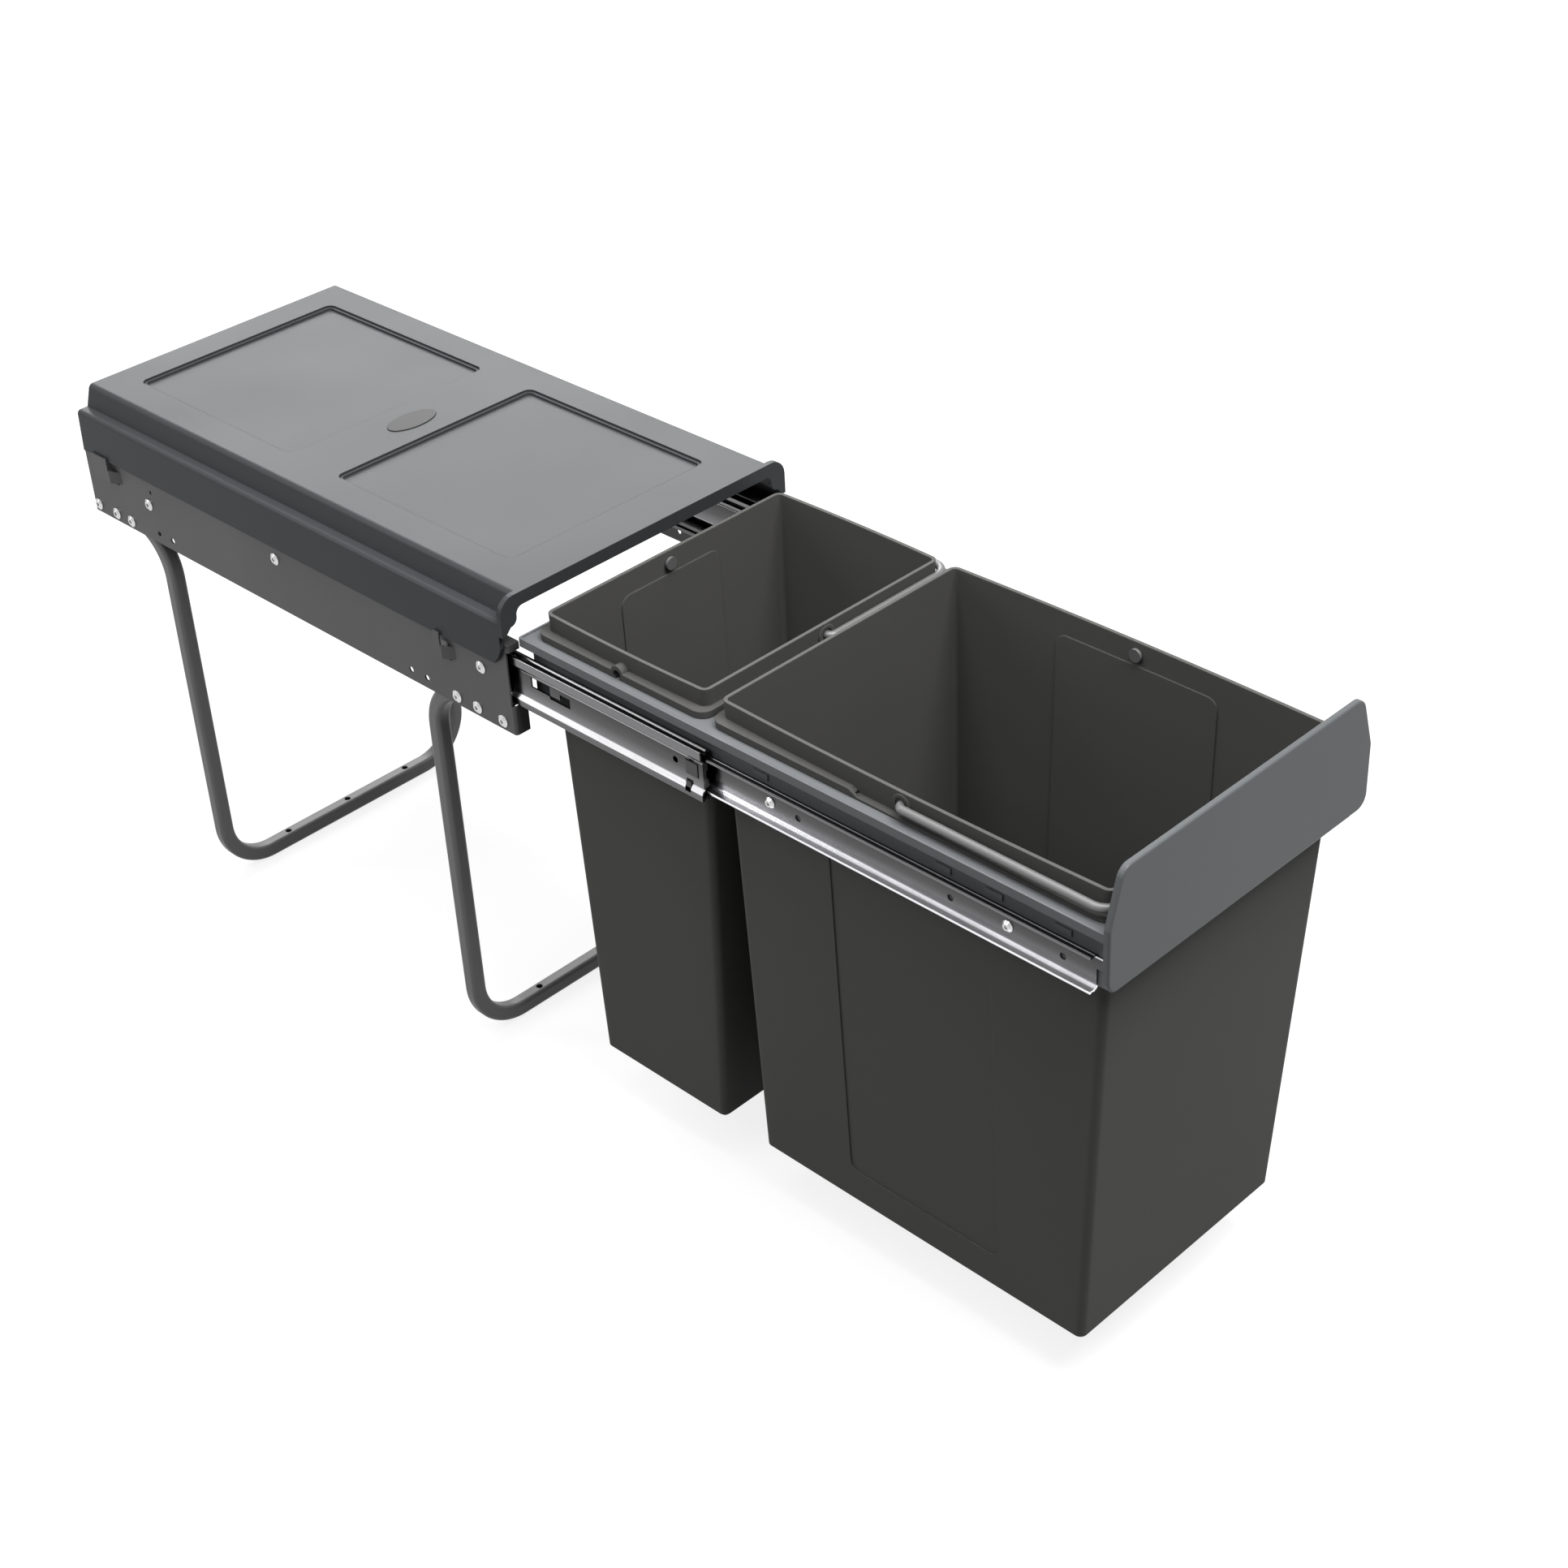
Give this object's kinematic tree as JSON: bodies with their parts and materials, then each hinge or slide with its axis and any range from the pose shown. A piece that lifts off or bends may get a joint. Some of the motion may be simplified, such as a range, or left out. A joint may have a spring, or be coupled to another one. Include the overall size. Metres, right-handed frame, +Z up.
{
  "type": "pull-out waste unit",
  "caption": "Waste unit for a base cabinet: bins hang in a carrier that runs out on ball-bearing slides under a fixed lid, on a bent tube frame",
  "frame": {"origin": "on the cabinet floor, midway between the two floor bars and midway across the width", "axes": "+Z up, -Y towards the front of the cabinet, where the carrier runs out, +X to the right seen from the front"},
  "size_m": [0.2592, 0.9655, 0.419],
  "materials": {
    "lid_plastic": "matte grey moulded plastic",
    "carrier_plastic": "matte grey moulded plastic",
    "panel_plastic": "satin dark grey",
    "bin_plastic": "matte dark grey moulded plastic",
    "frame_steel": "satin dark grey powder coat",
    "slide_steel": "bright zinc plate",
    "rivet_steel": "bright steel",
    "handle_wire": "satin grey coat",
    "black_plastic": "matte black moulded plastic",
    "cage_steel": "plain steel strip",
    "ball_steel": "polished"
  },
  "bodies": {
    "frame": {"lid": "lid_plastic", "left_housing": "frame_steel", "right_housing": "frame_steel", "front_floor_tube": "frame_steel", "rear_floor_tube": "frame_steel", "tube_rivets": "rivet_steel", "rail_rivets": "rivet_steel", "left_cabinet_rail": "slide_steel", "right_cabinet_rail": "slide_steel", "rail_bumpers": "black_plastic"},
    "outer_cages": {"outer_ball_cages": "cage_steel", "outer_balls": "ball_steel"},
    "middle_rails": {"left_middle_rail": "slide_steel", "right_middle_rail": "slide_steel", "middle_rail_catches": "black_plastic"},
    "inner_cages": {"inner_ball_cages": "cage_steel", "inner_balls": "ball_steel"},
    "carrier": {"left_drawer_rail": "slide_steel", "right_drawer_rail": "slide_steel", "rail_screws": "rivet_steel", "carrier_frame": "carrier_plastic", "front_panel": "panel_plastic", "panel_screws": "rivet_steel"},
    "small_bin": {"small_bin": "bin_plastic"},
    "small_bin_handle": {"small_bin_handle": "handle_wire"},
    "large_bin": {"large_bin": "bin_plastic"},
    "large_bin_handle": {"large_bin_handle": "handle_wire"}
  },
  "joints": [
    {"name": "pull_out", "type": "slide", "parent": "frame", "child": "carrier", "axis": [0, -1, 0], "range_m": [-0.475, 0]},
    {"name": "middle_run", "type": "slide", "parent": "frame", "child": "middle_rails", "axis": [0, -1, 0], "range_m": [-0.17813, 0]},
    {"name": "outer_cage_run", "type": "slide", "parent": "frame", "child": "outer_cages", "axis": [0, -1, 0], "range_m": [-0.08906, 0]},
    {"name": "inner_cage_run", "type": "slide", "parent": "frame", "child": "inner_cages", "axis": [0, -1, 0], "range_m": [-0.32656, 0]},
    {"name": "small_bin_lift", "type": "slide", "parent": "carrier", "child": "small_bin", "axis": [0, 0, 1], "range_m": [0, 0.36]},
    {"name": "large_bin_lift", "type": "slide", "parent": "carrier", "child": "large_bin", "axis": [0, 0, 1], "range_m": [0, 0.36]},
    {"name": "small_handle_swing", "type": "hinge", "parent": "small_bin", "child": "small_bin_handle", "pos_m": [0, -0.3368, 0.3872], "axis": [0, -1, 0], "range_deg": [0, 176]},
    {"name": "large_handle_swing", "type": "hinge", "parent": "large_bin", "child": "large_bin_handle", "pos_m": [0, -0.5701, 0.3872], "axis": [-1, 0, 0], "range_deg": [0, 176]}
  ],
  "couplings": [
    {"joint": "middle_run", "follows": "pull_out", "ratio": 0.375},
    {"joint": "outer_cage_run", "follows": "pull_out", "ratio": 0.1875},
    {"joint": "inner_cage_run", "follows": "pull_out", "ratio": 0.6875}
  ]
}
